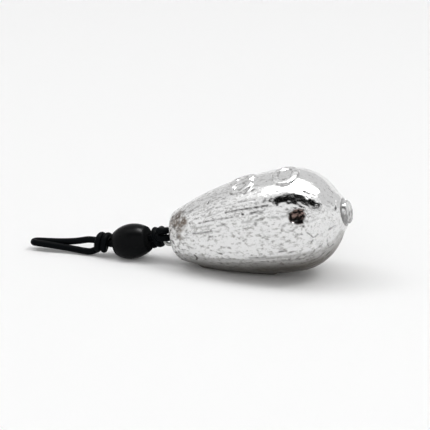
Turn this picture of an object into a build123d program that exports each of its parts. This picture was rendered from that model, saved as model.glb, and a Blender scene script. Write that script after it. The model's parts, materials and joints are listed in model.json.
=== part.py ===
"""Cast lead fishing sinker with a wire eye, a bead captive on a tied cord, and an end loop.

Millimetres and degrees. +X runs along the weight to its fat end and +Z is up. The origin is the
centre of the low pad that the weight lies on, so the table is the plane Z = 0.
"""

import math
import os

from build123d import *

# Lead weight, drawn along its own X axis from the widest section
lead_diameter = 19.6
nose_distance = 24.7
flank_radius = 56.0
nose_dome_radius = 9.5
nose_corner_radius = 2.0
sprue_diameter = 4.5
sprue_length = 1.2
sprue_chamfer = 0.25
pit_radius = 1.7
pit_depth = 0.8
pit_angle = 16.9
pit_station = 3.6

# Raised number on the upper side
number_height = 6.5
number_width = 5.0
number_stroke = 1.25
number_relief = 0.45
number_roll = 15.5
eight_station = -7.8
nought_station = 1.0

# How the weight lies, and the pad under it
rest_tilt = 13.0
pad_length = 14.4
pad_width = 5.0
pad_height = 0.12
pad_root = 2.0

# Wire eye
wire_diameter = 0.7
eye_reach = 1.7
eye_leg_offset = 1.5
eye_bow_radius = 0.9
leg_depth = 9.0
leg_hook = 2.1
hook_radius = 1.2

# Cord, its hitch on the eye and its loop knot
cord_diameter = 1.2
cord_pitch_down = 14.0
turn_gap = 0.44
wire_clearance = 0.03
wound_lead_in = 1.35
wound_lead_angle = 42.0
hitch_turns = 1.0
knot_turns = 1.0
knot_strand_drop = 1.7
knot_tail = 0.65
stem_bend_radius = 3.3
stem_free = 0.95

# Barrel bead
bead_diameter = 6.75
bead_length = 6.7
bead_end_diameter = 4.5
bead_edge_radius = 0.3
bead_bore_clearance = 0.06
bead_side_gap = 0.1

# End loop, from the knot's left face: away from it, towards the back, up
loop_points = [
    (0.0, 0.0, 0.0),
    (1.2, 0.0, 0.0),
    (3.0, 0.1, 0.7),
    (6.6, 0.7, 0.25),
    (11.3, 1.45, -0.6),
    (11.3, -1.45, -0.6),
    (6.4, -0.8, -1.15),
    (2.9, -0.1, -1.68),
    (1.2, 0.0, -1.7),
    (0.0, 0.0, -1.7),
]

lead_radius = lead_diameter / 2
wire_radius = wire_diameter / 2
cord_radius = cord_diameter / 2
turn_pitch = cord_diameter + turn_gap
turn_radius = cord_diameter + turn_gap
bight_radius = wire_radius + cord_radius + wire_clearance


def circle_crossing(centre_a, radius_a, centre_b, radius_b):
    """Crossing of two circles in the XY plane that is nearer the nose."""
    across = centre_b - centre_a
    span = across.length
    along = (radius_a**2 - radius_b**2 + span**2) / (2 * span)
    height = math.sqrt(radius_a**2 - along**2)
    side = Vector(across.Y, -across.X) / span
    foot = centre_a + across * (along / span)
    return min((foot + side * height, foot - side * height), key=lambda point: point.X)


def on_circle(centre, radius, first, second):
    """Point of a circle half way between two of its points."""
    middle = (first + second) / 2 - centre
    return centre + middle.normalized() * radius


def turned_blank(relief):
    """Lead weight without its details, grown outward by relief."""
    radius = lead_radius + relief
    flank = flank_radius + relief
    dome = nose_dome_radius + relief
    nose = Vector(-nose_distance - relief, 0)
    dome_centre = nose + Vector(dome, 0)
    flank_centre = Vector(0, radius - flank)
    corner = circle_crossing(dome_centre, dome, flank_centre, flank)
    crown = Vector(0, radius)
    pole = Vector(radius, 0)
    outline = [
        ThreePointArc(nose, on_circle(dome_centre, dome, nose, corner), corner),
        ThreePointArc(corner, on_circle(flank_centre, flank, corner, crown), crown),
        ThreePointArc(crown, on_circle(Vector(), radius, crown, pole), pole),
        Line(pole, nose),
    ]
    section = make_face(outline)
    vertex = section.vertices().sort_by_distance(corner)[0]
    section = fillet(vertex, nose_corner_radius)
    return revolve(section, Axis.X)


def digit_nought():
    """Outline of a nought, upright along Y."""
    rx = number_width / 2
    ry = number_height / 2
    return Ellipse(rx, ry) - Ellipse(rx - number_stroke, ry - number_stroke)


def digit_eight():
    """Outline of an eight, as two rings that share one stroke."""
    rx = number_width / 2
    ry = (number_height + number_stroke) / 4
    lift = number_height / 2 - ry
    hole = Ellipse(rx - number_stroke, ry - number_stroke)
    rings = Pos(0, lift) * Ellipse(rx, ry) + Pos(0, -lift) * Ellipse(rx, ry)
    return rings - Pos(0, lift) * hole - Pos(0, -lift) * hole


def raised_digit(outline, station):
    """Digit that follows the weight's surface, standing number_relief above it."""
    root = lead_radius - 3.5
    block = extrude(Pos(station, 0, root) * outline, amount=6)
    return Rot(number_roll, 0, 0) * (block & turned_blank(number_relief))


def tube(path, diameter):
    """Round tube along a path."""
    start = Plane(origin=path @ 0, z_dir=path % 0)
    return sweep(start * Circle(diameter / 2), path=path)


def biarc(p0, t0, p1, t1):
    """Two tangent arcs from p0 along t0 to p1 along t1."""
    chord = p1 - p0
    total = t0 + t1
    bend = 2 * (1 - t0.dot(t1))
    lean = chord.dot(total)
    reach = (math.sqrt(lean**2 + bend * chord.dot(chord)) - lean) / bend
    q0 = p0 + t0 * reach
    q1 = p1 - t1 * reach
    joint = (q0 + q1) / 2
    middle = (q1 - q0).normalized()
    return [
        TangentArc(p0, joint, tangent=t0),
        TangentArc(joint, p1, tangent=middle),
    ]


def wound_turns(start, way, angle, turns):
    """Arcs from a strand along X, way +1 or -1, into turns round the X axis."""
    rise = way * turn_pitch / (2 * math.pi)
    nodes = [(start, Vector(way, 0, 0))]
    quarters = [0.25 * step for step in range(int(turns * 4) + 1)]
    if turns - quarters[-1] > 0.02:
        quarters.append(turns)
    for part in quarters:
        at = math.radians(angle + wound_lead_angle + 360 * part)
        around = Vector(0, math.cos(at), math.sin(at)) * turn_radius
        along = start.X + way * (wound_lead_in + turn_pitch * part)
        tangent = Vector(rise, -around.Z, around.Y).normalized()
        nodes.append((around + Vector(along, 0, 0), tangent))
    arcs = []
    for (p0, t0), (p1, t1) in zip(nodes, nodes[1:]):
        arcs += biarc(p0, t0, p1, t1)
    return arcs


def least_gap(path, diameter):
    """Least gap between stretches of one tube that are over two diameters apart along it."""
    count = int(path.length / 0.05)
    points = [path @ (i / count) for i in range(count + 1)]
    skip = int(2 * diameter / 0.05)
    gap = math.inf
    for i, point in enumerate(points):
        for other in points[i + skip:]:
            gap = min(gap, (point - other).length - diameter)
    return gap


def bend_radii(points):
    """Fillet radius at each inner point of a route, as large as its runs allow."""
    radii = []
    for before, here, after in zip(points, points[1:], points[2:]):
        run_in = here - before
        run_out = after - here
        half = math.radians(run_in.get_angle(run_out)) / 2
        radii.append(0.45 * min(run_in.length, run_out.length) / math.tan(half))
    return radii


def say_tube(name, solid, path):
    """Print a tube's volume against its section times its length."""
    swept = math.pi * cord_radius**2 * path.length
    print(f"{name}: length {path.length:.2f}, volume {solid.volume:.3f}, section x length {swept:.3f}")


# Where the weight and the cord's frames are
centre_rise = flank_radius - lead_radius
tilt = math.radians(rest_tilt)
lead_place = Pos(
    centre_rise * math.sin(tilt),
    0,
    flank_radius - centre_rise * math.cos(tilt) + pad_height,
) * Rot(0, -rest_tilt, 0)
eye_centre = (lead_place * Pos(-nose_distance - eye_reach, 0, 0)).position
down = math.radians(cord_pitch_down)
link = Plane(
    origin=eye_centre + Vector(0, bight_radius, 0),
    x_dir=(-math.cos(down), 0, -math.sin(down)),
    z_dir=(-math.sin(down), 0, math.cos(down)),
)
hitch_end = wound_lead_in + turn_pitch * hitch_turns + cord_radius
bead_start = hitch_end + bead_side_gap
bead_middle = bead_start + bead_length / 2
stem_corner = bead_start + bead_length + stem_free
knot = Plane(
    origin=link.from_local_coords(Vector(stem_corner, 0, 0)),
    x_dir=(-1, 0, 0),
    z_dir=(0, 0, 1),
)
knot_left = knot_tail + turn_pitch * knot_turns + wound_lead_in + cord_diameter

# Wire eye, one bent wire whose hooked legs are cast into the weight
bow_x = -nose_distance - eye_reach
hook_x = -nose_distance + leg_depth
hook_z = eye_leg_offset + leg_hook
wire_path = FilletPolyline(
    (hook_x, 0, hook_z),
    (hook_x, 0, eye_leg_offset),
    (bow_x, 0, eye_leg_offset),
    (bow_x, 0, -eye_leg_offset),
    (hook_x, 0, -eye_leg_offset),
    (hook_x, 0, -hook_z),
    radius=(hook_radius, eye_bow_radius, eye_bow_radius, hook_radius),
)
wire_local = tube(wire_path, wire_diameter)
wire_eye = lead_place * wire_local

# Lead weight
sprue = Rot(0, 90, 0) * Cylinder(sprue_diameter / 2, sprue_length + 2)
sprue_edge = sprue.edges().filter_by(GeomType.CIRCLE).sort_by(Axis.X)[-1]
sprue = chamfer(sprue_edge, sprue_chamfer)
lead_local = turned_blank(0)
lead_local += Pos(lead_radius + sprue_length / 2 - 1, 0, 0) * sprue
lead_local += raised_digit(digit_eight(), eight_station)
lead_local += raised_digit(digit_nought(), nought_station)
pit_out = lead_radius + pit_radius - pit_depth
pit_ring = math.sqrt(pit_out**2 - pit_station**2)
pit_at = math.radians(pit_angle)
pit_place = Pos(pit_station, -pit_ring * math.cos(pit_at), pit_ring * math.sin(pit_at))
lead_local -= pit_place * Sphere(pit_radius)
lead_body = lead_place * lead_local
lead_body += extrude(SlotOverall(pad_length, pad_width), amount=pad_root)
lead_body -= wire_eye

# Cord hitch: in from the bead, round the wire, then wound back round itself
hitch_lines = [
    Line((hitch_end, 0, 0), (0, 0, 0)),
    ThreePointArc((0, 0, 0), (-bight_radius, bight_radius, 0), (0, 2 * bight_radius, 0)),
]
hitch_lines += wound_turns(Vector(0, 2 * bight_radius, 0), 1, 0, hitch_turns)
hitch_path = Wire(hitch_lines)
cord_hitch = link.location * tube(hitch_path, cord_diameter)

# Cord stem: straight through the bead, then level into the loop knot
stem_path = FilletPolyline(
    link.from_local_coords(Vector(hitch_end, 0, 0)),
    knot.origin,
    knot.from_local_coords(Vector(knot_left, 0, 0)),
    radius=stem_bend_radius,
)
cord_stem = tube(stem_path, cord_diameter)

# Loop knot: the loop's lower strand wound back round the stem
strand = Vector(knot_left, 0, -knot_strand_drop)
strand_in = strand - Vector(cord_diameter, 0, 0)
knot_lines = [Line(strand, strand_in)]
knot_lines += wound_turns(strand_in, -1, -90, knot_turns)
knot_path = Wire(knot_lines)
loop_knot = knot.location * tube(knot_path, cord_diameter)

# End loop
loop_face = Vector(knot_left, 0, 0)
loop_route = [knot.from_local_coords(loop_face + Vector(x, -y, z)) for x, y, z in loop_points]
loop_radii = bend_radii(loop_route)
loop_path = FilletPolyline(*loop_route, radius=loop_radii)
end_loop = tube(loop_path, cord_diameter)

# Barrel bead on the stem
half = bead_length / 2
bead_section = make_face([
    ThreePointArc((-half, bead_end_diameter / 2), (0, bead_diameter / 2), (half, bead_end_diameter / 2)),
    Line((half, bead_end_diameter / 2), (half, 0)),
    Line((half, 0), (-half, 0)),
    Line((-half, 0), (-half, bead_end_diameter / 2)),
])
bead_corners = bead_section.vertices().group_by(Axis.Y)[-1]
bead_local = revolve(fillet(bead_corners, bead_edge_radius), Axis.X)
bore_radius = cord_radius + bead_bore_clearance
bead_local -= Rot(0, 90, 0) * Cylinder(bore_radius, bead_length + 2)
barrel_bead = link.location * Pos(bead_middle, 0, 0) * bead_local

nodes = {
    "lead_body": lead_body,
    "wire_eye": wire_eye,
    "cord_hitch": cord_hitch,
    "cord_stem": cord_stem,
    "loop_knot": loop_knot,
    "end_loop": end_loop,
    "barrel_bead": barrel_bead,
}

os.makedirs("parts", exist_ok=True)
for name, shape in nodes.items():
    export_step(shape, f"parts/{name}.step")
    box = shape.bounding_box()
    print(name, len(shape.solids()), "solid", round(shape.volume, 2), "mm3", box.min, box.max)

say_tube("cord_hitch", cord_hitch, hitch_path)
say_tube("cord_stem", cord_stem, stem_path)
say_tube("loop_knot", loop_knot, knot_path)
say_tube("end_loop", end_loop, loop_path)
print("hitch least gap", round(least_gap(hitch_path, cord_diameter), 3))
print("knot least gap", round(least_gap(knot_path, cord_diameter), 3))
print("loop least gap", round(least_gap(loop_path, cord_diameter), 3))
print("loop bend radii", [round(radius, 2) for radius in loop_radii])
print("hitch arc radii", sorted(round(edge.radius, 2) for edge in hitch_path.edges().filter_by(GeomType.CIRCLE)))
print("knot arc radii", sorted(round(edge.radius, 2) for edge in knot_path.edges().filter_by(GeomType.CIRCLE)))
print("lowest points", {name: round(shape.bounding_box().min.Z, 3) for name, shape in nodes.items()})
print("lead mass g", round(lead_body.volume * 0.01134, 2))
print("eye centre", eye_centre, "swing axis", (-math.sin(tilt), 0, math.cos(tilt)))
print("bead centre", link.from_local_coords(Vector(bead_middle, 0, 0)), "spin axis", link.x_dir)
print("loop route", [tuple(round(value, 3) for value in point) for point in loop_route])
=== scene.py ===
"""Dresses a cast lead fishing sinker: its weight, wire eye, tied cord and barrel bead.

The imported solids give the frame. Lengths inside the functions are millimetres in the row frame, and each
finished piece is scaled to metres once. The lamps are placed in metres.
"""

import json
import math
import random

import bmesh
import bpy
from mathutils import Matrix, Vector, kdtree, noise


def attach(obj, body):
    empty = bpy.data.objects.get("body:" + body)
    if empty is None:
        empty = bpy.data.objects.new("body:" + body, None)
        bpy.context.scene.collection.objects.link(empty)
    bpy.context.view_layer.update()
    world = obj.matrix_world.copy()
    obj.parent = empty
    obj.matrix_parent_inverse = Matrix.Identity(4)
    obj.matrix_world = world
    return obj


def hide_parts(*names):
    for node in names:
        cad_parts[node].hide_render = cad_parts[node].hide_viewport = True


bl_info = {
    "name": "Cast Lead Sinker",
    "version": (1, 0, 0),
    "blender": (4, 5, 0),
    "location": "3D View > Sidebar > Sinker",
    "description": "Dresses a cast lead fishing sinker on its corded bead",
    "category": "Object",
}

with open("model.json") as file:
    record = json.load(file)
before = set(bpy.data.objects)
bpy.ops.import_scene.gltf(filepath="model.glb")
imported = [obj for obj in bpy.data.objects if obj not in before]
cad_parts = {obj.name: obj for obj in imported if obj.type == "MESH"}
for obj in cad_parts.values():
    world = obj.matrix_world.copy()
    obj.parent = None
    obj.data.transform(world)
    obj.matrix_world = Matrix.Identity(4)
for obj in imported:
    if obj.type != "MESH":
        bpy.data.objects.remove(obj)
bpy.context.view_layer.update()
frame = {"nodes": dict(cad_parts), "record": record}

MM = 0.001
JOINTS = {joint["name"]: joint for joint in frame["record"]["behaviour"]["joints"]}

# Sockets of a colour mix: its two colours and its result.
MIX_FROM, MIX_TO, MIXED = 6, 7, 2


def linear(code):
    """Linear RGBA of an sRGB hex colour."""
    channels = [int(code[at:at + 2], 16) / 255 for at in (0, 2, 4)]
    return (*[c / 12.92 if c <= 0.04045 else ((c + 0.055) / 1.055) ** 2.4 for c in channels], 1.0)


def smoothstep(low, high, value):
    """0 below low and 1 above high, eased between them."""
    part = min(max((value - low) / (high - low), 0.0), 1.0)
    return part * part * (3 - 2 * part)


def length_property(name, description, millimetres):
    """A length that is kept in metres and written here in millimetres."""
    return bpy.props.FloatProperty(
        name=name, description=description, default=millimetres * MM, unit="LENGTH", precision=5
    )


def angle_property(name, description, degrees):
    """An angle that is kept in radians and written here in degrees."""
    return bpy.props.FloatProperty(
        name=name, description=description, default=math.radians(degrees), subtype="ANGLE"
    )


def colour_property(name, description, code):
    """A colour that is written here as an sRGB hex value."""
    return bpy.props.FloatVectorProperty(
        name=name, description=description, default=linear(code), size=4, min=0, max=1, subtype="COLOR"
    )


class SinkerSizes(bpy.types.PropertyGroup):
    """Sizes of the dressed pieces."""

    lead_diameter: length_property("Lead diameter", "Widest section of the weight", 19.6)
    nose_distance: length_property("Nose distance", "From the widest section to the nose", 24.7)
    flank_radius: length_property("Flank radius", "Arc of the long flank", 56.0)
    nose_dome_radius: length_property("Nose dome radius", "Arc of the blunt nose", 9.5)
    nose_corner_radius: length_property("Nose corner radius", "Round between nose and flank", 2.0)
    nose_dimple: length_property("Nose dimple", "Depth of the hollow that lets the hitch swing", 0.32)
    sprue_diameter: length_property("Sprue diameter", "Stub where the lead was poured", 4.5)
    sprue_length: length_property("Sprue length", "How far the cut stub stands out", 1.2)
    sprue_chamfer: length_property("Sprue chamfer", "Worn edge of the cut stub", 0.25)
    root_flare: length_property("Root flare", "How far the skin is drawn out round the sprue", 0.6)
    number_height: length_property("Number height", "Height of the raised digits", 6.5)
    number_width: length_property("Number width", "Width of one raised digit", 5.0)
    number_stroke: length_property("Number stroke", "Width of a digit's stroke", 1.25)
    number_relief: length_property("Number relief", "How far the digits stand out", 0.36)
    number_angle: angle_property("Number angle", "Round the weight from its front to the digits", 74.5)
    eight_station: length_property("Eight station", "Along the weight to the first digit", -7.8)
    nought_station: length_property("Nought station", "Along the weight to the second digit", 1.0)
    pit_radius: length_property("Pit radius", "Mouth of the casting pit", 1.45)
    pit_depth: length_property("Pit depth", "Depth of the casting pit", 0.8)
    pit_station: length_property("Pit station", "Along the weight to the pit", 3.6)
    pit_angle: angle_property("Pit angle", "Round the weight from its front to the pit", 17.0)
    seam_angle: angle_property("Seam angle", "Round the weight from its front to the mould seam", -26.0)
    pad_length: length_property("Pad length", "Length of the strip that the weight lies on", 14.4)
    pad_width: length_property("Pad width", "Width of the strip that the weight lies on", 3.0)
    eye_reach: length_property("Eye reach", "From the nose to the bow of the wire eye", 1.7)
    wire_diameter: length_property("Wire diameter", "Thickness of the eye's wire", 0.7)
    wire_gap: length_property("Wire gap", "Between the wire and the cord on it", 0.03)
    cord_diameter: length_property("Cord diameter", "Thickness of the cord", 1.3)
    turn_radius: length_property("Turn radius", "Middle of the cord in a knot's turns", 1.38)
    hitch_pitch: length_property("Hitch pitch", "Spacing of the turns at the eye", 1.33)
    bight_pitch: length_property("Bight pitch", "Spacing of the turns on the eye's wire", 1.45)
    knot_pitch: length_property("Knot pitch", "Spacing of the turns at the end loop", 1.25)
    bead_diameter: length_property("Bead diameter", "Middle of the barrel bead", 6.75)
    bead_length: length_property("Bead length", "From end to end of the barrel bead", 7.0)
    bead_end_diameter: length_property("Bead end diameter", "Flat ends of the barrel bead", 4.5)
    bead_bore_diameter: length_property("Bead bore", "Hole through the barrel bead", 1.4)
    bead_rim: length_property("Bead rim", "Round of the bead's edges", 0.16)
    bead_shift: length_property("Bead shift", "Bead's middle, from the spin joint towards the eye", 0.15)


class SinkerColours(bpy.types.PropertyGroup):
    """Colours of the finishes."""

    lead: colour_property("Lead", "Bright skin of the casting", "E4E4E4")
    lead_dull: colour_property("Dull lead", "Skin that cooled slowly", "979693")
    # Painted shade: the underside of the weight takes this darker colour.
    lead_underside_shade: colour_property("Lower lead", "Dull skin of the lower mould half", "605B54")
    # Oxide, and also painted shade and reflection: the sprue's lower side, the digits' edges and the flow
    # lines take this colour.
    oxide_and_shade: colour_property("Oxide", "Dark film in pits and cold laps", "33302F")
    stain: colour_property("Stain", "Brown film on the nose", "6F655C")
    pit: colour_property("Pit", "Brown skin inside the casting pit", "968079")
    # Painted shade as well as black film: the lower part of the pit takes this colour.
    pit_black_and_shade: colour_property("Burnt pit", "Black film inside the casting pit", "060505")
    wire: colour_property("Wire", "Drawn steel wire", "C4C5C3")
    wire_dull: colour_property("Dull wire", "Grey film on the wire", "8E8D89")
    cord: colour_property("Cord", "Black coated cord", "040608")
    cord_worn: colour_property("Worn cord", "Worn patches of the coating", "080A0C")
    bead: colour_property("Bead", "Black moulded bead", "050607")
    bead_worn: colour_property("Worn bead", "Scuffs on the bead", "0A0B0C")
    floor: colour_property("Floor", "Pale table", "FEFEFE")
    card: colour_property("Card", "Black studio card", "0A0A0A")


class SinkerStage(bpy.types.PropertyGroup):
    """Camera and room light of the stage."""

    room_light: bpy.props.FloatProperty(
        name="Room light", description="Level of the white room on dull surfaces", default=0.5
    )
    azimuth: angle_property("Azimuth", "Camera's turn towards the fat end", 16.91)
    elevation: angle_property("Elevation", "Camera's height angle", 17.0)
    distance: length_property("Distance", "From the camera to the middle of the picture", 450.0)
    lens: bpy.props.FloatProperty(name="Lens", description="Focal length in mm", default=199.2, unit="CAMERA")
    target: bpy.props.FloatVectorProperty(
        name="Target",
        description="Point at the middle of the picture",
        default=(-0.0049145, -0.0006215, 0.0107308),
        unit="LENGTH",
        subtype="TRANSLATION",
    )


def place(origin, along, side):
    """Matrix of a frame from its origin, its X axis and its Y axis."""
    rows = Matrix((along, side, along.cross(side))).transposed().to_4x4()
    rows.translation = origin
    return rows


def lead_place(sizes):
    """Frame of the weight: X along it to the fat end, from its widest section."""
    up = Vector(JOINTS["hitch_swing"]["axis"])
    along = Vector((up.z, 0, -up.x))
    eye = Vector(JOINTS["hitch_swing"]["pos_m"]) / MM
    reach = (sizes.nose_distance + sizes.eye_reach) / MM
    return place(eye + along * reach, along, Vector((0, 1, 0)))


def link_place():
    """Frame of the cord at the eye: X along the stem to the bead, Y to the front."""
    eye = Vector(JOINTS["hitch_swing"]["pos_m"]) / MM
    bead = Vector(JOINTS["bead_spin"]["pos_m"]) / MM
    along = Vector(JOINTS["bead_spin"]["axis"])
    return place(Vector((eye.x, bead.y, eye.z)), along, Vector((0, -1, 0)))


def finish_mesh(bm, name, material, smooth_angle):
    """Object of a bmesh in millimetres, scaled to metres, with smooth faces and one material."""
    bmesh.ops.scale(bm, vec=(MM, MM, MM), verts=bm.verts)
    mesh = bpy.data.meshes.new(name)
    bm.to_mesh(mesh)
    bm.free()
    mesh.materials.append(material)
    mesh.shade_smooth()
    mesh.set_sharp_from_angle(angle=math.radians(smooth_angle))
    piece = bpy.data.objects.new(name, mesh)
    bpy.context.scene.collection.objects.link(piece)
    return piece


def add_node(tree, kind, inputs=None, **settings):
    """Add a shader node, with its settings and with its inputs set or linked."""
    node = tree.nodes.new(kind)
    for key, value in settings.items():
        setattr(node, key, value)
    for key, value in (inputs or {}).items():
        if isinstance(value, bpy.types.NodeSocket):
            tree.links.new(value, node.inputs[key])
        else:
            node.inputs[key].default_value = value
    return node


def new_material(name):
    """Empty node material, its tree and its shader."""
    material = bpy.data.materials.new(name)
    material.use_nodes = True
    tree = material.node_tree
    tree.nodes.clear()
    shader = add_node(tree, "ShaderNodeBsdfPrincipled")
    add_node(tree, "ShaderNodeOutputMaterial", {"Surface": shader.outputs[0]})
    return material, tree, shader


def grained_material(name, spacing, detail, tones, roughness, bump):
    """Material with one fine grain, its spacing in metres, in its tone, roughness and bump."""
    material, tree, shader = new_material(name)
    coordinates = add_node(tree, "ShaderNodeTexCoord")
    grain = add_node(tree, "ShaderNodeTexNoise", {
        "Vector": coordinates.outputs["Object"], "Scale": 1 / spacing, "Detail": detail
    }).outputs["Fac"]
    tone = add_node(tree, "ShaderNodeMix", {
        "Factor": grain, MIX_FROM: tones[0], MIX_TO: tones[1]
    }, data_type="RGBA")
    rough = add_node(tree, "ShaderNodeMapRange", {
        "Value": grain, "To Min": roughness[0], "To Max": roughness[1]
    })
    raised = add_node(tree, "ShaderNodeBump", {"Height": grain, "Strength": bump[0], "Distance": bump[1]})
    tree.links.new(tone.outputs[MIXED], shader.inputs["Base Color"])
    tree.links.new(rough.outputs[0], shader.inputs["Roughness"])
    tree.links.new(raised.outputs[0], shader.inputs["Normal"])
    return material, tree, shader


# Lead weight

def circle_crossing(first, first_radius, second, second_radius):
    """Crossing of two circles in the XY plane that is nearer the nose."""
    across = second - first
    along = (first_radius**2 - second_radius**2 + across.length_squared) / (2 * across.length)
    height = math.sqrt(first_radius**2 - along**2)
    side = Vector((across.y, -across.x, 0)) / across.length
    foot = first + across * (along / across.length)
    return min((foot + side * height, foot - side * height), key=lambda point: point.x)


def carry_round(bm, vert, centre, angle, steps):
    """Draw an arc of edges from a vertex round a centre, and give its last vertex."""
    made = bmesh.ops.spin(bm, geom=[vert], cent=centre, axis=(0, 0, 1), angle=-angle, steps=steps)
    return next(item for item in made["geom_last"] if isinstance(item, bmesh.types.BMVert))


def carry_straight(bm, vert, end, steps):
    """Draw a straight run of edges from a vertex, and give its last vertex."""
    step = (Vector(end) - vert.co) / steps
    for _ in range(steps):
        vert = bmesh.ops.extrude_vert_indiv(bm, verts=[vert])["verts"][0]
        bmesh.ops.translate(bm, vec=step, verts=[vert])
    return vert


def lead_blank(sizes):
    """Turned blank of the weight in its own frame, from the nose to the cut sprue."""
    radius = sizes.lead_diameter / 2 / MM
    dome = sizes.nose_dome_radius / MM
    flank = sizes.flank_radius / MM
    corner = sizes.nose_corner_radius / MM
    neck = sizes.sprue_diameter / 2 / MM
    stub = radius + sizes.sprue_length / MM
    chamfer = sizes.sprue_chamfer / MM
    nose = Vector((-sizes.nose_distance / MM, 0, 0))
    dome_centre = nose + Vector((dome, 0, 0))
    flank_centre = Vector((0, radius - flank, 0))
    corner_centre = circle_crossing(dome_centre, dome - corner, flank_centre, flank - corner)
    dome_angle = math.atan2(corner_centre.y, dome_centre.x - corner_centre.x)
    flank_angle = math.atan2(-corner_centre.x, corner_centre.y - flank_centre.y)
    # The steps keep the edges of the mesh under 0.2 mm.
    bm = bmesh.new()
    vert = bm.verts.new(nose)
    vert = carry_round(bm, vert, dome_centre, dome_angle, 28)
    vert = carry_round(bm, vert, corner_centre, math.pi / 2 - dome_angle - flank_angle, 12)
    vert = carry_round(bm, vert, flank_centre, flank_angle, 140)
    vert = carry_round(bm, vert, (0, 0, 0), math.pi / 2 - math.asin(neck / radius), 78)
    vert = carry_straight(bm, vert, (stub - chamfer, neck, 0), 7)
    vert = carry_straight(bm, vert, (stub, neck - chamfer, 0), 3)
    carry_straight(bm, vert, (stub, 0, 0), 11)
    bmesh.ops.spin(
        bm, geom=bm.verts[:] + bm.edges[:], axis=(1, 0, 0), angle=2 * math.pi, steps=320, use_merge=True
    )
    bmesh.ops.remove_doubles(bm, verts=bm.verts, dist=0.0005)
    bmesh.ops.recalc_face_normals(bm, faces=bm.faces)
    return bm


def skin_point(sizes, station, angle):
    """Point of the turned blank at a station in mm and an angle from the front."""
    radius = sizes.lead_diameter / 2 / MM
    flank = sizes.flank_radius / MM
    if station > 0:
        reach = math.sqrt(radius**2 - station**2)
    else:
        reach = radius - flank + math.sqrt(flank**2 - station**2)
    return Vector((station, -reach * math.cos(angle), reach * math.sin(angle)))


def ring(across, up, half_width, half_height, stroke):
    """How far a point is on a digit's round stroke, from 0 to 1."""
    wide = half_width - stroke / 2
    high = half_height - stroke / 2
    reach = math.hypot(across / wide, up / high)
    if reach < 0.05:
        return 0.0
    gap = math.hypot(across, up) * abs(1 - 1 / reach)
    return 1 - smoothstep(stroke * 0.34, stroke * 0.66, gap)


def digits(sizes, station, up):
    """How far a point is on the raised number, from 0 to 1."""
    half_width = sizes.number_width / 2 / MM
    half_height = sizes.number_height / 2 / MM
    stroke = sizes.number_stroke / MM
    bowl = (half_height + stroke / 2) / 2
    bowl_up = half_height - bowl
    eight = station - sizes.eight_station / MM
    nought = station - sizes.nought_station / MM
    return max(
        ring(eight, up - bowl_up, half_width, bowl, stroke),
        ring(eight, up + bowl_up, half_width, bowl, stroke),
        ring(nought, up, half_width, half_height, stroke),
    )


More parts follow.
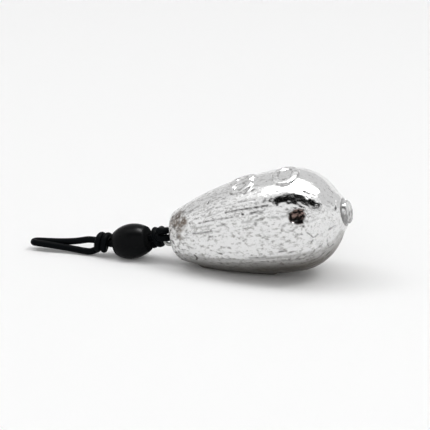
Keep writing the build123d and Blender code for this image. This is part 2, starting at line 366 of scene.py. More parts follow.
# Marks in the skin: width, depth and darkness, then stations in mm and angles in degrees.
MARKS = (
    # Flow lines along the nose half, their dark film partly oxide and partly painted reflection
    (0.2, 0.03, 0.45, ((-19.9, 55.7), (-17.7, 52.0))),
    (0.2, 0.03, 0.4, ((-16.9, 70.3), (-15.1, 67.5), (-13.5, 66.0), (-10.5, 65.0))),
    (0.2, 0.03, 0.5, ((-15.9, 41.7), (-14.3, 43.2), (-13.0, 45.1))),
    (0.2, 0.03, 0.5, ((-12.9, 49.2), (-10.2, 49.2))),
    (0.22, 0.04, 0.6, ((-7.7, 43.5), (-4.3, 42.3))),
    (0.2, 0.03, 0.45, ((-12.5, 43.2), (-9.2, 42.6))),
    (0.26, 0.05, 0.95, ((-10.4, 33.9), (-7.4, 33.6), (-5.6, 33.3), (-3.6, 33.0), (-1.7, 33.3))),
    (0.24, 0.04, 0.7, ((-16.3, 27.4), (-14.4, 27.4), (-11.9, 27.0), (-9.2, 26.4), (-7.7, 26.7))),
    (0.3, 0.06, 1.0, ((-5.8, 26.1), (-3.7, 28.3), (-2.9, 26.1))),
    (0.26, 0.04, 0.7, ((-17.9, 13.3), (-16.6, 12.7), (-14.7, 13.0), (-13.6, 13.0), (-12.2, 11.5))),
    (0.24, 0.04, 0.6, ((-12.4, 18.6), (-10.6, 19.6))),
    (0.34, 0.04, 0.4, ((-7.1, 18.6), (-5.2, 18.0), (-3.4, 18.0))),
    (0.22, 0.03, 0.45, ((-20.7, 7.4), (-19.0, 7.4))),
    (0.2, 0.03, 0.35, ((-14.8, 34.6), (-12.6, 35.0), (-10.8, 37.4))),
    (0.2, 0.03, 0.4, ((-18.2, 22.0), (-15.6, 20.8), (-13.2, 21.4))),
    (0.2, 0.03, 0.35, ((-9.6, 57.0), (-7.4, 56.2))),
    # Flecks and short cold laps
    (0.32, 0.06, 1.0, ((-7.0, 28.3), (-6.7, 27.4))),
    (0.28, 0.05, 0.7, ((-15.9, 82.8), (-15.6, 84.7))),
    (0.28, 0.05, 0.8, ((-14.5, 54.4), (-14.3, 58.2))),
    (0.26, 0.05, 0.7, ((-14.4, 43.2), (-14.1, 42.9))),
    (0.28, 0.06, 1.0, ((-5.2, 55.7), (-4.7, 57.3))),
    (0.26, 0.05, 0.8, ((-6.7, 53.8), (-6.2, 54.4))),
    (0.24, 0.05, 0.7, ((-14.5, 6.2), (-13.7, 5.6))),
    (0.24, 0.05, 0.6, ((-6.5, 11.2), (-5.9, 11.2))),
    (0.26, 0.05, 0.8, ((-13.6, -17.8), (-12.7, -19.7))),
    (0.22, 0.05, 0.6, ((-9.4, -17.8), (-8.9, -15.9))),
    (0.22, 0.04, 0.5, ((-11.6, 4.9), (-10.7, 4.3))),
    (0.26, 0.06, 1.0, ((4.8, 48.5), (5.7, 45.4))),
    (0.2, 0.04, 0.5, ((3.5, 47.3), (4.3, 45.7))),
    (0.22, 0.05, 0.7, ((4.0, 55.4), (4.2, 55.4))),
    (0.22, 0.05, 0.6, ((-3.9, 52.0), (-3.4, 51.3))),
    (0.34, 0.05, 0.5, ((-1.1, 19.9), (0.1, 18.3), (1.7, 18.0))),
    (0.28, 0.06, 0.6, ((1.5, 10.5), (0.8, 8.4), (0.4, 4.3))),
    (0.26, 0.06, 0.5, ((1.5, 3.1), (2.3, 1.2), (3.3, 5.2))),
    (0.26, 0.06, 0.9, ((4.3, 4.3), (4.4, 3.7))),
    (0.24, 0.06, 0.8, ((3.7, -4.7), (3.9, -5.4))),
    (0.22, 0.05, 0.6, ((2.6, -6.6), (3.1, -3.8))),
    (0.18, 0.04, 0.6, ((4.7, -4.4), (5.2, -10.0), (5.5, -14.7), (6.3, -13.1))),
    (0.18, 0.04, 0.5, ((8.0, -15.6), (8.9, -18.1), (9.3, -25.9))),
    (0.18, 0.04, 0.6, ((7.4, -27.8), (7.1, -38.0), (7.0, -50.2), (7.7, -54.9))),
    (0.34, 0.04, 0.3, ((5.1, 7.1), (6.0, 9.3), (6.7, 9.3))),
    (0.26, 0.05, 0.8, ((-1.2, -21.2), (0.2, -20.9))),
    (0.24, 0.05, 0.6, ((0.5, -24.0), (1.1, -24.3))),
    (0.22, 0.05, 0.6, ((-0.8, -14.1), (-0.2, -11.0))),
    (0.22, 0.05, 0.6, ((0.7, -9.7), (1.0, -9.7))),
    (0.22, 0.05, 0.6, ((-2.7, -4.1), (-2.5, -4.4))),
    (0.3, 0.1, 1.0, ((-18.8, -24.5), (-18.7, -33.0), (-19.0, -38.0))),
    (0.3, 0.03, 0.2, ((-3.4, 9.5), (-3.2, 2.0), (-2.7, -10.1))),
    # Ripples below the seam
    (0.3, 0.06, 0.5, ((-7.2, -26.8), (-5.6, -26.8), (-4.2, -26.2))),
    (0.24, 0.05, 0.3, ((-4.1, -29.6), (-0.8, -30.3), (1.6, -32.4), (3.7, -34.0), (5.1, -33.7), (6.4, -31.8))),
    (0.24, 0.05, 0.35, ((-1.2, -35.6), (1.3, -37.7), (3.7, -39.3), (5.1, -40.2))),
    (0.24, 0.05, 0.35, ((0.9, -45.5), (2.9, -47.7), (4.8, -51.4), (6.4, -49.9))),
)

# Brown film on the nose: station in mm, angle in degrees, reach in mm and strength.
STAINS = (
    (-21.3, 58.0, 1.7, 1.1),
    (-22.4, 48.0, 1.9, 0.9),
    (-20.0, 36.0, 1.5, 1.2),
    (-21.4, 38.0, 2.4, 1.0),
    (-21.2, 23.0, 1.3, 0.9),
    (-21.2, 12.0, 1.0, 1.1),
    (-22.6, 28.0, 1.8, 0.5),
)

# What the skin notes at each vertex for its material; film is partly painted shade and reflection, and lower
# is painted shade on the underside.
SKIN_LAYERS = ("film", "stain", "shine", "pit", "lined", "lower")

SPECK_SEED = 17
SPECK_COUNT = 300


def speckle_skin(tree, sizes, lift, film):
    """Sink random specks and short runs of them, each with its dark film."""
    draw = random.Random(SPECK_SEED)
    for _ in range(SPECK_COUNT):
        station = draw.uniform(-22.4, 9.0)
        angle = draw.uniform(-math.pi, math.pi)
        size = draw.uniform(0.17, 0.3)
        depth = draw.uniform(0.01, 0.05)
        dark = draw.uniform(0.05, 0.6)
        for _ in range(draw.randint(1, 5)):
            station = min(station + draw.uniform(0.05, 0.24), 9.3)
            angle += draw.uniform(-0.018, 0.018)
            for _, index, gap in tree.find_range(skin_point(sizes, station, angle), size):
                part = 1 - smoothstep(0.3, 1.0, gap / size)
                lift[index] -= depth * part * 0.6
                film[index] = max(film[index], dark * part)


def draw_marks(bm, tree, sizes, lift, film):
    """Sink the marks with ragged edges and breaks, each with its dark film, which on the flow lines is partly
    painted reflection.
    """
    for width, depth, dark, stops in MARKS:
        ends = [skin_point(sizes, station, math.radians(angle)) for station, angle in stops]
        nearest = {}
        for first, second in zip(ends, ends[1:]):
            steps = math.ceil((second - first).length / 0.08)
            for step in range(steps + 1):
                for at, index, gap in tree.find_range(first.lerp(second, step / steps), width * 1.3):
                    gap *= 1 + 0.5 * noise.noise(Vector(at) * 1.9)
                    nearest[index] = min(gap, nearest.get(index, width))
        for index, gap in nearest.items():
            broken = min(max(0.75 + 0.9 * noise.noise(bm.verts[index].co * 1.3), 0.0), 1.0)
            part = broken * (1 - smoothstep(0.3, 1.0, gap / width))
            lift[index] -= depth * part
            film[index] = max(film[index], dark * part)


def stain_nose(bm, tree, sizes, stain_layer):
    """Note the brown film on the nose, with ragged and speckled edges."""
    for station, angle, reach, strength in STAINS:
        middle = skin_point(sizes, station, math.radians(angle))
        for at, index, gap in tree.find_range(middle, reach * 1.5):
            edge = gap / reach + 0.5 * noise.noise(Vector(at) * 1.1)
            speckle = 0.75 + 0.5 * noise.noise(Vector(at) * 2.4)
            vert = bm.verts[index]
            brown = min(strength * speckle * (1 - smoothstep(0.2, 1.1, edge)), 1.0)
            vert[stain_layer] = max(vert[stain_layer], brown)


def sink_pit(bm, tree, sizes, lift, film, pit_layer):
    """Sink the ragged casting pit, with a raised rim and a black lower part that is painted shade."""
    pit_radius = sizes.pit_radius / MM
    pit_depth = sizes.pit_depth / MM
    pit = skin_point(sizes, sizes.pit_station / MM, sizes.pit_angle)
    for at, index, _ in tree.find_range(pit, pit_radius * 2.2):
        across = Vector(at) - pit
        across.x /= 1.12
        ragged = 1 + 0.35 * noise.noise(Vector(at) * 0.8) + 0.25 * noise.noise(Vector(at) * 1.9)
        gap = across.length * ragged
        hollow = max(1 - (gap / pit_radius) ** 2, 0.0)
        lift[index] -= pit_depth * hollow * (1 + 0.7 * noise.noise(Vector(at) * 2.1))
        lift[index] += 0.06 * math.exp(-(((gap - pit_radius * 1.1) / 0.22) ** 2))
        bm.verts[index][pit_layer] = 1 - smoothstep(pit_radius * 0.85, pit_radius * 1.05, gap)
        film[index] = max(film[index], 0.4 * math.exp(-(((gap - pit_radius) / 0.16) ** 2)))
        # Painted shade: the lower part of the pit is noted dark.
        low = across.z + 0.3 * across.x + 0.5 * noise.noise(Vector(at) * 1.2)
        film[index] = max(film[index], bm.verts[index][pit_layer] * (1 - smoothstep(-0.7, 0.2, low)))


def cast_skin(bm, sizes):
    """Raise the number, seam and flash, sink the pit and marks, and note film, stain, shine and a darker
    underside; the underside and parts of the film are painted shade.
    """
    film_and_shade_layer, stain_layer, shine_layer, pit_layer, lined_layer, underside_shade_layer = [
        bm.verts.layers.float.new(name) for name in SKIN_LAYERS
    ]
    neck = sizes.sprue_diameter / 2 / MM
    stub_root = math.sqrt((sizes.lead_diameter / 2 / MM) ** 2 - neck**2)
    bm.verts.ensure_lookup_table()
    bm.normal_update()
    count = len(bm.verts)
    lift = [0.0] * count
    film = [0.0] * count
    tree = kdtree.KDTree(count)
    relief = sizes.number_relief / MM
    dimple = sizes.nose_dimple / MM

    # Stations and heights are in mm, turns in degrees up from the front, and noise scales are per mm.
    for vert in bm.verts:
        at = vert.co
        tree.insert(at, vert.index)
        station = at.x
        reach = math.hypot(at.y, at.z)
        angle = math.atan2(at.z, -at.y)

        # Shine on the top and the fat end, and lines on the upper nose half
        body = smoothstep(0.4, 2.6, reach) * (1 - smoothstep(9.3, 9.6, station))
        nose_half = 1 - smoothstep(-10, 1, station)
        turn = math.degrees(angle)
        top = smoothstep(16, 34, turn) * (1 - smoothstep(120, 165, turn))
        vert[shine_layer] = max(top * (1 - 0.72 * nose_half), 0.55 * smoothstep(3.5, 8, station))
        vert[lined_layer] = nose_half * smoothstep(0, 16, turn) * (1 - smoothstep(150, 175, turn))

        # Raised number, waves and crinkles of the skin, the dimple and the cut end of the sprue
        number = digits(sizes, station, reach * (angle - sizes.number_angle))
        vert[shine_layer] *= 1 - 0.6 * number
        rise = relief * number
        along = Vector((station * 0.11, at.y * 0.9, at.z * 0.9))
        rise += body * (0.05 * noise.noise(at * 0.17) - 0.03)
        rise += body * (0.016 + 0.016 * nose_half) * noise.noise(at * 0.55 + Vector((9, 0, 0)))
        crinkled = 1 - smoothstep(36, 48, turn) * (1 - smoothstep(132, 144, turn))
        rise += body * (0.006 + 0.024 * crinkled) * noise.noise(at * 1.3 + Vector((0, 7, 0)))
        rise += body * 0.03 * nose_half * noise.noise(along)
        if station < -20:
            rise -= dimple * (1 - smoothstep(1.8, 4.4, reach))
        if station > stub_root and reach < neck + 0.4:
            rise -= 0.05 + 0.05 * noise.noise(at * 0.8 + Vector((0, 0, 4)))

        # Mould seam that wanders and drops at the fat end: a step down, a thin flash and ripples below
        seam = sizes.seam_angle - math.radians(16) * smoothstep(1, 9.3, station)
        gap = math.remainder(angle - seam, math.pi) * reach
        wander = 0.3 * noise.noise(Vector((station * 0.4, 3, 0)))
        wander += 0.1 * noise.noise(Vector((station * 1.7, 5, 0)))
        gap += wander
        below = -gap if math.cos(angle - seam) > 0 else gap
        rough = 0.7 + 0.6 * noise.noise(Vector((station * 0.6, 8, 1)))
        rise -= body * 0.06 * smoothstep(-0.3, 0.5, below) * (1 - smoothstep(1.0, 6.0, below))
        rise += body * rough * 0.05 * math.exp(-((gap / 0.3) ** 2))
        if below > 0:
            rise += body * rough * 0.045 * math.sin(2 * math.pi * below / 1.05) * math.exp(-below / 2.2)
        # Painted shade: the skin below the seam is noted darker, more so towards the underside.
        vert[underside_shade_layer] = body * (0.35 * smoothstep(-0.4, 0.9, below) + 0.65 * smoothstep(0.6, 5.0, below))

        # Film round the number, on the sprue and its root, and in specks on the nose; part of it is painted
        # shade
        speckle = 0.5 + noise.noise(at * 1.6 + Vector((2, 0, 6)))
        # Partly grime and partly painted shade: a darker outline along the digits' edges.
        edge_grime_and_shade = 4 * number * (1 - number)
        dark = 0.6 * edge_grime_and_shade * min(max(speckle + 0.25, 0.2), 1.0) + 0.16 * number * max(speckle, 0.0)
        # Painted shade: the sprue is darker on its lower side and in a ring round its root, lighter on top.
        if station > stub_root and reach < neck + 0.4:
            low = 1 - smoothstep(10, 55, turn)
            dark = max(dark, (0.25 + 0.4 * low) * min(max(speckle + 0.3, 0.25), 1.0))
            dark = max(dark, 0.6 * (1 - smoothstep(stub_root + 0.5, stub_root + 0.85, station)))
        nose_tip = 1 - smoothstep(-23.0, -17.5, station)
        dark = max(dark, nose_tip * 0.7 * smoothstep(0.62, 0.95, speckle))
        film[vert.index] = dark
        lift[vert.index] = rise
    tree.balance()

    speckle_skin(tree, sizes, lift, film)
    draw_marks(bm, tree, sizes, lift, film)
    stain_nose(bm, tree, sizes, stain_layer)
    sink_pit(bm, tree, sizes, lift, film, pit_layer)
    for vert in bm.verts:
        vert[film_and_shade_layer] = min(film[vert.index], 1.0)
        vert.co += vert.normal * lift[vert.index]


def flare_root(bm, sizes):
    """Draw the skin out round the sprue, so that the stub stands on a low rise."""
    radius = sizes.lead_diameter / 2 / MM
    neck = sizes.sprue_diameter / 2 / MM
    root = math.sqrt(radius**2 - neck**2)
    stub = sizes.sprue_length / MM
    flare = sizes.root_flare / MM
    for vert in bm.verts:
        reach = math.hypot(vert.co.y, vert.co.z)
        if vert.co.x > 6 and reach > neck + 0.01:
            vert.co.x += flare * (1 - smoothstep(neck, neck * 2.1, reach))
        elif vert.co.x > root - 0.05:
            vert.co.x += flare * (1 - smoothstep(0, stub * 0.8, vert.co.x - root))


def flatten_pad(bm, sizes):
    """Press the strip that the weight lies on down to the table, in the row frame."""
    half_length = sizes.pad_length / 2 / MM
    half_width = sizes.pad_width / 2 / MM
    # Only skin within 1.5 mm of the table moves, and the strip's edge is eased over 1.8 mm.
    for vert in bm.verts:
        if vert.co.z < 1.5:
            over = max(abs(vert.co.x) - half_length, abs(vert.co.y) - half_width)
            vert.co.z *= smoothstep(-0.9, 0.9, over)
            vert.co.z = max(vert.co.z, 0.0)


def cast_lead(colours, sizes):
    """Cast lead: bright where the mould was smooth, dull and lined along the nose, dark film in its marks,
    with painted reflection in the lines and painted shade on the underside, sprue and pit.
    """
    material, tree, shader = new_material("cast_lead")
    inverse = lead_place(sizes).inverted()
    coordinates = add_node(tree, "ShaderNodeTexCoord")
    turned = add_node(tree, "ShaderNodeMapping", {
        "Vector": coordinates.outputs["Object"],
        "Location": inverse.translation * MM,
        "Rotation": inverse.to_euler(),
    })
    film, stain, shine, pit, lined, lower = [
        add_node(tree, "ShaderNodeAttribute", attribute_name=name).outputs["Fac"] for name in SKIN_LAYERS
    ]

    # Flow lines are about 30 mm long and 1 mm apart, flecks 0.5 mm and cloudy patches 3 mm across.
    drawn = add_node(tree, "ShaderNodeVectorMath", {
        0: turned.outputs[0], 1: (0.035, 1, 1)
    }, operation="MULTIPLY")
    lines = add_node(tree, "ShaderNodeTexNoise", {
        "Vector": drawn.outputs[0], "Scale": 1 / 0.001, "Detail": 1.0
    })
    flecks = add_node(tree, "ShaderNodeTexNoise", {
        "Vector": turned.outputs[0], "Scale": 1 / 0.0005, "Detail": 3.0
    })
    clouds = add_node(tree, "ShaderNodeTexNoise", {
        "Vector": turned.outputs[0], "Scale": 1 / 0.003, "Detail": 4.0
    })
    # The thin dark lines along the nose are partly oxide and partly painted reflection.
    level = add_node(tree, "ShaderNodeMath", {0: lines.outputs["Fac"], 1: 0.5}, operation="SUBTRACT")
    beside = add_node(tree, "ShaderNodeMath", {0: level.outputs[0]}, operation="ABSOLUTE")
    thin = add_node(tree, "ShaderNodeMapRange", {
        "Value": beside.outputs[0], "From Min": 0.0, "From Max": 0.035, "To Min": 1.0, "To Max": 0.0
    })
    broken = add_node(tree, "ShaderNodeMapRange", {
        "Value": flecks.outputs["Fac"], "From Min": 0.44, "From Max": 0.58, "To Min": 0.0, "To Max": 0.65
    })
    line = add_node(tree, "ShaderNodeMath", {0: thin.outputs[0], 1: broken.outputs[0]}, operation="MULTIPLY")
    line = add_node(tree, "ShaderNodeMath", {0: line.outputs[0], 1: lined}, operation="MULTIPLY")
    speck = add_node(tree, "ShaderNodeMapRange", {
        "Value": flecks.outputs["Fac"], "From Min": 0.64, "From Max": 0.76, "To Min": 0.0, "To Max": 0.4
    })
    dark = add_node(tree, "ShaderNodeMath", {0: line.outputs[0], 1: film}, operation="MAXIMUM")
    dark = add_node(tree, "ShaderNodeMath", {0: dark.outputs[0], 1: speck.outputs[0]}, operation="MAXIMUM")

    # Crinkled grain, about 0.6 mm across and a little longer along the weight.
    longer = add_node(tree, "ShaderNodeVectorMath", {
        0: turned.outputs[0], 1: (0.55, 1, 1)
    }, operation="MULTIPLY")
    grain = add_node(tree, "ShaderNodeTexNoise", {
        "Vector": longer.outputs[0], "Scale": 1 / 0.0006, "Detail": 4.0, "Roughness": 0.7
    })
    crinkle = add_node(tree, "ShaderNodeMapRange", {
        "Value": grain.outputs["Fac"], "From Min": 0.5, "From Max": 0.68
    })
    grainy = add_node(tree, "ShaderNodeMapRange", {"Value": shine, "To Min": 1.0, "To Max": 0.25})
    mottle = add_node(tree, "ShaderNodeMath", {
        0: crinkle.outputs[0], 1: grainy.outputs[0]
    }, operation="MULTIPLY")
    # Random black bits in the pit, with the painted shade of its lower part.
    pit_black_and_shade_mask = add_node(tree, "ShaderNodeMapRange", {
        "Value": grain.outputs["Fac"], "From Min": 0.44, "From Max": 0.54
    })
    pit_black_and_shade_mask = add_node(tree, "ShaderNodeMath", {0: pit_black_and_shade_mask.outputs[0], 1: film}, operation="MAXIMUM")
    hollow = add_node(tree, "ShaderNodeMix", {
        "Factor": pit_black_and_shade_mask.outputs[0], MIX_FROM: colours.pit, MIX_TO: colours.pit_black_and_shade
    }, data_type="RGBA")
    tone = add_node(tree, "ShaderNodeMix", {
        "Factor": mottle.outputs[0], MIX_FROM: colours.lead, MIX_TO: colours.lead_dull
    }, data_type="RGBA")
    # Painted shade and reflection: the underside colour, parts of the dark film and the pit's black stand in
    # for shade.
    covers = (
        (lower, colours.lead_underside_shade),
        (stain, colours.stain),
        (dark.outputs[0], colours.oxide_and_shade),
        (pit, hollow.outputs[MIXED]),
    )
    for factor, colour in covers:
        tone = add_node(tree, "ShaderNodeMix", {
            "Factor": factor, MIX_FROM: tone.outputs[MIXED], MIX_TO: colour
        }, data_type="RGBA")
    covered = add_node(tree, "ShaderNodeMath", {0: dark.outputs[0], 1: pit}, operation="MAXIMUM")
    metal = add_node(tree, "ShaderNodeMapRange", {"Value": covered.outputs[0], "To Min": 1.0, "To Max": 0.35})
    smooth = add_node(tree, "ShaderNodeMapRange", {"Value": shine, "To Min": 0.27, "To Max": 0.04})
    rough = add_node(tree, "ShaderNodeMath", {
        0: clouds.outputs["Fac"], 1: 0.09, 2: smooth.outputs[0]
    }, operation="MULTIPLY_ADD")
    height = add_node(tree, "ShaderNodeMath", {
        0: grain.outputs["Fac"], 1: lines.outputs["Fac"]
    }, operation="ADD")
    firm = add_node(tree, "ShaderNodeMapRange", {"Value": shine, "To Min": 0.7, "To Max": 0.16})
    bump = add_node(tree, "ShaderNodeBump", {
        "Height": height.outputs[0], "Strength": firm.outputs[0], "Distance": 0.0001
    })
    tree.links.new(tone.outputs[MIXED], shader.inputs["Base Color"])
    tree.links.new(metal.outputs[0], shader.inputs["Metallic"])
    tree.links.new(rough.outputs[0], shader.inputs["Roughness"])
    tree.links.new(bump.outputs[0], shader.inputs["Normal"])
    shader.inputs["Specular IOR Level"].default_value = 0.06
    return material


class SINKER_OT_lead(bpy.types.Operator):
    """Cast the lead weight with its number, seam, pit, marks and sprue."""

    bl_idname = "sinker.lead"
    bl_label = "Cast lead"

    def execute(self, context):
        sizes = context.scene.sinker_sizes
        bm = lead_blank(sizes)
        flare_root(bm, sizes)
        cast_skin(bm, sizes)
        bmesh.ops.transform(bm, matrix=lead_place(sizes), verts=bm.verts)
        flatten_pad(bm, sizes)
        piece = finish_mesh(bm, "lead_weight_cast", cast_lead(context.scene.sinker_colours, sizes), 50)
        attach(piece, "lead")
        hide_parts("lead_body")
        return {"FINISHED"}


# Wire eye

def drawn_wire(colours):
    """Drawn steel wire: bright, with a fine grain and a little grey film."""
    # Drawing lines are finer than the render shows, so the grain is drawn 0.12 mm apart.
    material, _, shader = grained_material(
        "drawn_steel_wire", 0.00012, 2.0, (colours.wire, colours.wire_dull), (0.22, 0.4), (0.1, 0.00002)
    )
    shader.inputs["Metallic"].default_value = 1.0
    return material


class SINKER_OT_wire(bpy.types.Operator):
    """Give the wire eye its drawn steel."""

    bl_idname = "sinker.wire"
    bl_label = "Finish wire"

    def execute(self, context):
        wire = frame["nodes"]["wire_eye"]
        material = drawn_wire(context.scene.sinker_colours)
        for slot in wire.material_slots:
            slot.material = material
        return {"FINISHED"}


# Cord

# Turns of the cord: place of the first along their axis in mm, way along it, angle of its start in degrees,
# and count.
HITCH_TURNS = (0.44, 1, 70, 1.65)
BIGHT_TURNS = (1.7, -1, -20, 1.56)
KNOT_TURNS = (2.69, -1, -90, 1.9)


def winding(frame_matrix, turns, pitch, radius):
    """Control points of a cord's turns round a frame's X axis."""
    first, way, start, count = turns
    per_turn = 16
    # The curve runs inside its control points, so they are spread outward.
    spread = 0.75 + 0.25 * math.cos(2 * math.pi / per_turn)
    points = []
    for step in range(round(count * per_turn) + 1):
        part = step / per_turn
        angle = math.radians(start) + 2 * math.pi * part
        across = Vector((0, math.cos(angle), math.sin(angle))) * (radius / spread)
        points.append(frame_matrix @ (Vector((first + way * pitch * part, 0, 0)) + across))
    return points


# Places along the stem from the eye, in mm.
STEM_STOPS = (0.7, 3.7, 7.0, 10.0, 11.2)

# Control points of the end loop, out from its knot and back, in mm in the row frame.
LOOP_POINTS = (
    (-27.6, 0.98, 2.65),
    (-28.8, 1.0, 3.0),
    (-30.3, 1.1, 2.98),
    (-31.2, 1.3, 2.9),
    (-33.8, 1.4, 2.24),
    (-37.1, 1.6, 1.8),
    (-40.8, 1.65, 1.6),
    (-42.3, 1.55, 1.55),
    (-42.3, 0.3, 1.55),
    (-40.6, 0.25, 1.5),
    (-36.7, 0.45, 1.22),
    (-33.6, 0.55, 0.9),
    (-31.0, 0.4, 0.72),
    (-30.1, 0.5, 0.83),
)

# Start of the loop knot's axis, on the bead's side, in mm in the row frame.
KNOT_ORIGIN = (-26.334, 0.98, 2.7)


def cord_route(sizes):
    """Control points of the whole cord, from its end at the eye to its end in the loop knot."""
    link = link_place()
    turn_radius = sizes.turn_radius / MM
    wire_radius = (sizes.wire_diameter + sizes.cord_diameter) / 2 / MM + sizes.wire_gap / MM
    hitch = winding(link, HITCH_TURNS, sizes.hitch_pitch / MM, turn_radius)
    wire = link @ place(Vector((0, wire_radius, 0)), Vector((0, 0, 1)), Vector((0, 1, 0)))
    bight = winding(wire, BIGHT_TURNS, sizes.bight_pitch / MM, wire_radius)
    stem = [link @ Vector((x, 0, 0)) for x in STEM_STOPS]
    loop = [Vector(point) for point in LOOP_POINTS]
    knot = place(Vector(KNOT_ORIGIN), Vector((-1, 0, 0)), Vector((0, -1, 0)))
    knot_turns = winding(knot, KNOT_TURNS, sizes.knot_pitch / MM, turn_radius)
    return [*reversed(hitch), *bight, *stem, *loop, *knot_turns]


def coated_cord(colours):
    """Smooth coating on a thin cord: near black, with a soft sheen and faint worn patches."""
    material, _, shader = grained_material(
        "coated_cord", 0.0004, 3.0, (colours.cord, colours.cord_worn), (0.38, 0.55), (0.12, 0.00003)
    )
    shader.inputs["Specular IOR Level"].default_value = 0.03
    return material


class SINKER_OT_cord(bpy.types.Operator):
    """Tie the cord: its hitch on the eye, its stem, its loop knot and its end loop."""

    bl_idname = "sinker.cord"
    bl_label = "Tie cord"

    def execute(self, context):
        sizes = context.scene.sinker_sizes
        route = cord_route(sizes)
        curve = bpy.data.curves.new("tied_cord", "CURVE")
        curve.dimensions = "3D"
        spline = curve.splines.new("NURBS")
        spline.points.add(len(route) - 1)
        for point, at in zip(spline.points, route):
            point.co = (*(at * MM), 1.0)
        spline.order_u = 3
        spline.use_endpoint_u = True
        spline.resolution_u = 6
        curve.bevel_depth = sizes.cord_diameter / 2
        curve.bevel_resolution = 5
        curve.use_fill_caps = True
        curve.materials.append(coated_cord(context.scene.sinker_colours))
        piece = bpy.data.objects.new("tied_cord", curve)
        context.scene.collection.objects.link(piece)
        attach(piece, "link")
        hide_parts("cord_hitch", "cord_stem", "loop_knot", "end_loop")
        return {"FINISHED"}


# Bead

def moulded_bead(colours):
    """Satin black moulded plastic: a broad soft highlight with faint scuffs."""
    material, tree, shader = grained_material(
        "moulded_bead", 0.0007, 4.0, (colours.bead, colours.bead_worn), (0.24, 0.34), (0.08, 0.00003)
    )
    # The ends are duller than the barrel.
    matte = add_node(tree, "ShaderNodeAttribute", attribute_name="matte").outputs["Fac"]
    barrel = shader.inputs["Roughness"].links[0].from_socket
    rough = add_node(tree, "ShaderNodeMath", {0: barrel, 1: matte}, operation="MAXIMUM")
    tree.links.new(rough.outputs[0], shader.inputs["Roughness"])
    shader.inputs["Specular IOR Level"].default_value = 0.055
    return material


class SINKER_OT_bead(bpy.types.Operator):
    """Turn the barrel bead with its bore."""

    bl_idname = "sinker.bead"
    bl_label = "Turn bead"

    def execute(self, context):
        sizes = context.scene.sinker_sizes
        half = sizes.bead_length / 2 / MM
        middle = sizes.bead_diameter / 2 / MM
        end = sizes.bead_end_diameter / 2 / MM
        bore = sizes.bead_bore_diameter / 2 / MM
        rise = middle - end
        barrel = (half**2 + rise**2) / (2 * rise)
        sweep = 2 * math.asin(half / barrel)
        bm = bmesh.new()
        first = bm.verts.new((-half, end, 0))
        last = carry_round(bm, first, (0, middle - barrel, 0), sweep, 30)
        last = carry_straight(bm, last, (half, bore, 0), 1)
        last = carry_straight(bm, last, (-half, bore, 0), 1)
        bm.edges.new((last, first))
        bmesh.ops.spin(
            bm, geom=bm.verts[:] + bm.edges[:], axis=(1, 0, 0), angle=2 * math.pi, steps=96, use_merge=True
        )
        bmesh.ops.remove_doubles(bm, verts=bm.verts, dist=0.0005)
        bmesh.ops.recalc_face_normals(bm, faces=bm.faces)
        rims = [edge for edge in bm.edges if edge.is_manifold and edge.calc_face_angle() > math.radians(35)]
        bmesh.ops.bevel(
            bm,
            geom=rims,
            offset=sizes.bead_rim / MM,
            offset_type="OFFSET",
            segments=3,
            profile=0.5,
            affect="EDGES",
            material=-1,
        )
        matte = bm.verts.layers.float.new("matte")
        for vert in bm.verts:
            vert[matte] = smoothstep(half - 0.8, half - 0.05, abs(vert.co.x))
        along = Vector(JOINTS["bead_spin"]["axis"])
        centre = Vector(JOINTS["bead_spin"]["pos_m"]) / MM
        centre -= along * (sizes.bead_shift / MM)
        bmesh.ops.transform(bm, matrix=place(centre, along, Vector((0, -1, 0))), verts=bm.verts)
        piece = finish_mesh(bm, "barrel_bead_moulded", moulded_bead(context.scene.sinker_colours), 40)
        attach(piece, "bead")
        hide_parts("barrel_bead")
        return {"FINISHED"}


# Stage

# Half the table's width, and its drop below the pad, in mm.
TABLE_HALF, TABLE_DROP = 3000, 0.01

# Cards: name, half sizes in mm, turn in degrees and its axis, place in mm, and glow.
CARDS = (
    ("black_flag", (636, 120), 12, "Z", (262, -227, 500), 0.0),
    ("dim_backdrop", (5000, 1400), -38, "X", (0, 1736, 1715), 0.76),
)

# Lamps: name, size in metres, power in watts, place in metres, whether it faces straight down and not the
# object, and the kind of ray that doesn't see it.
LAMPS = (
    ("overhead_softbox", (2.2, 0.56), 5.5, (0.02, -0.03, 1.5), True, None),
    ("rear_softbox", (1.4, 0.65), 4.6, (0.62, 0.52, 1.5), True, "visible_diffuse"),
    ("spot_softbox", (0.5, 0.3), 26.0, (0.14, 0.2, 1.5), False, "visible_diffuse"),
    ("right_softbox", (0.5, 0.5), 3.6, (0.78, -0.1, 1.12), False, "visible_glossy"),
    ("left_softbox", (0.5, 0.5), 1.8, (-0.8, -0.1, 1.1), False, "visible_glossy"),
    ("front_softbox", (0.8, 0.4), 2.6, (0.36, -1.2, 0.7), False, "visible_glossy"),
)


def set_floor(colours):
    """Pale table under the object."""
    bm = bmesh.new()
    bmesh.ops.create_grid(bm, x_segments=1, y_segments=1, size=TABLE_HALF)
    bmesh.ops.translate(bm, vec=(0, 0, -TABLE_DROP), verts=bm.verts)
    material, _, shader = new_material("pale_table")
    shader.inputs["Base Color"].default_value = colours.floor
    shader.inputs["Roughness"].default_value = 0.9
    shader.inputs["Specular IOR Level"].default_value = 0.0
    finish_mesh(bm, "table_top", material, 30)


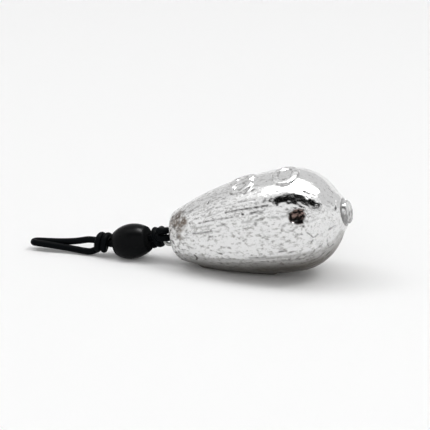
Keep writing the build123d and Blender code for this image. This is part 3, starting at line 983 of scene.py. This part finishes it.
def set_card(colours, name, half_size, degrees, axis, at, glow):
    """Studio card that only shows in bright metal: a black flag, or a dim backdrop with a glow."""
    turn = Matrix.Rotation(math.radians(degrees), 3, axis)
    bm = bmesh.new()
    bmesh.ops.create_grid(bm, x_segments=1, y_segments=1, size=1)
    bmesh.ops.scale(bm, vec=(*half_size, 1), verts=bm.verts)
    bmesh.ops.rotate(bm, cent=(0, 0, 0), matrix=turn, verts=bm.verts)
    bmesh.ops.translate(bm, vec=at, verts=bm.verts)
    material, _, shader = new_material(name)
    shader.inputs["Base Color"].default_value = colours.card
    shader.inputs["Specular IOR Level"].default_value = 0.0
    shader.inputs["Emission Color"].default_value = (1, 1, 1, 1)
    shader.inputs["Emission Strength"].default_value = glow
    card = finish_mesh(bm, name, material, 30)
    card.visible_camera = False
    card.visible_diffuse = False
    card.visible_shadow = False


def add_softbox(scene, name, size, energy, at, faces_down, hidden):
    """Area lamp over or beside the object."""
    lamp = bpy.data.lights.new(name, "AREA")
    lamp.shape = "RECTANGLE"
    lamp.size, lamp.size_y = size
    lamp.energy = energy
    softbox = bpy.data.objects.new(name, lamp)
    softbox.location = at
    if not faces_down:
        softbox.rotation_euler = Vector(at).to_track_quat("Z", "Y").to_euler()
    if hidden:
        setattr(softbox, hidden, False)
    scene.collection.objects.link(softbox)


def set_world(scene):
    """White room: a plain level on dull surfaces, and white to the camera and in bright metal."""
    world = bpy.data.worlds.new("white_room")
    world.use_nodes = True
    tree = world.node_tree
    tree.nodes.clear()
    path = add_node(tree, "ShaderNodeLightPath")
    seen = add_node(tree, "ShaderNodeMath", {
        0: path.outputs["Is Camera Ray"], 1: path.outputs["Is Glossy Ray"]
    }, operation="MAXIMUM")
    seen = add_node(tree, "ShaderNodeMath", {
        0: seen.outputs[0], 1: path.outputs["Is Transmission Ray"]
    }, operation="MAXIMUM")
    strength = add_node(tree, "ShaderNodeMapRange", {
        "Value": seen.outputs[0], "To Min": scene.sinker_stage.room_light, "To Max": 1.0
    })
    sky = add_node(tree, "ShaderNodeBackground", {"Color": (1, 1, 1, 1), "Strength": strength.outputs[0]})
    add_node(tree, "ShaderNodeOutputWorld", {"Surface": sky.outputs[0]})
    scene.world = world


class SINKER_OT_stage(bpy.types.Operator):
    """Set the floor, the cards, the world, the lamps and the camera."""

    bl_idname = "sinker.stage"
    bl_label = "Set stage"

    def execute(self, context):
        scene = context.scene
        stage = scene.sinker_stage
        scene.view_settings.view_transform = "Standard"
        set_floor(scene.sinker_colours)
        for card in CARDS:
            set_card(scene.sinker_colours, *card)
        set_world(scene)
        for lamp in LAMPS:
            add_softbox(scene, *lamp)

        camera = bpy.data.cameras.new("camera")
        camera.lens = stage.lens
        camera.sensor_width = 36
        camera.clip_start = 0.01
        camera_object = bpy.data.objects.new("camera", camera)
        flat = math.cos(stage.elevation)
        back = Vector((
            math.sin(stage.azimuth) * flat,
            -math.cos(stage.azimuth) * flat,
            math.sin(stage.elevation),
        ))
        camera_object.location = Vector(stage.target) + back * stage.distance
        camera_object.rotation_euler = back.to_track_quat("Z", "Y").to_euler()
        scene.collection.objects.link(camera_object)
        scene.camera = camera_object
        return {"FINISHED"}


class SINKER_PT_panel(bpy.types.Panel):
    """Sizes, colours and steps of the sinker."""

    bl_label = "Cast lead sinker"
    bl_idname = "SINKER_PT_panel"
    bl_space_type = "VIEW_3D"
    bl_region_type = "UI"
    bl_category = "Sinker"

    def draw(self, context):
        scene = context.scene
        for group in (scene.sinker_sizes, scene.sinker_colours, scene.sinker_stage):
            box = self.layout.box()
            for name in group.__annotations__:
                box.prop(group, name)
        for step in STEPS:
            self.layout.operator(step.bl_idname)


STEPS = (SINKER_OT_lead, SINKER_OT_wire, SINKER_OT_bead, SINKER_OT_cord, SINKER_OT_stage)
CLASSES = (SinkerSizes, SinkerColours, SinkerStage, *STEPS, SINKER_PT_panel)


def register():
    for cls in CLASSES:
        bpy.utils.register_class(cls)
    bpy.types.Scene.sinker_sizes = bpy.props.PointerProperty(type=SinkerSizes)
    bpy.types.Scene.sinker_colours = bpy.props.PointerProperty(type=SinkerColours)
    bpy.types.Scene.sinker_stage = bpy.props.PointerProperty(type=SinkerStage)


def unregister():
    del bpy.types.Scene.sinker_stage
    del bpy.types.Scene.sinker_colours
    del bpy.types.Scene.sinker_sizes
    for cls in reversed(CLASSES):
        bpy.utils.unregister_class(cls)


def main():
    """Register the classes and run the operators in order."""
    register()
    bpy.ops.sinker.lead()
    bpy.ops.sinker.wire()
    bpy.ops.sinker.bead()
    bpy.ops.sinker.cord()
    bpy.ops.sinker.stage()
    bpy.context.view_layer.update()


if __name__ == "__main__":
    main()
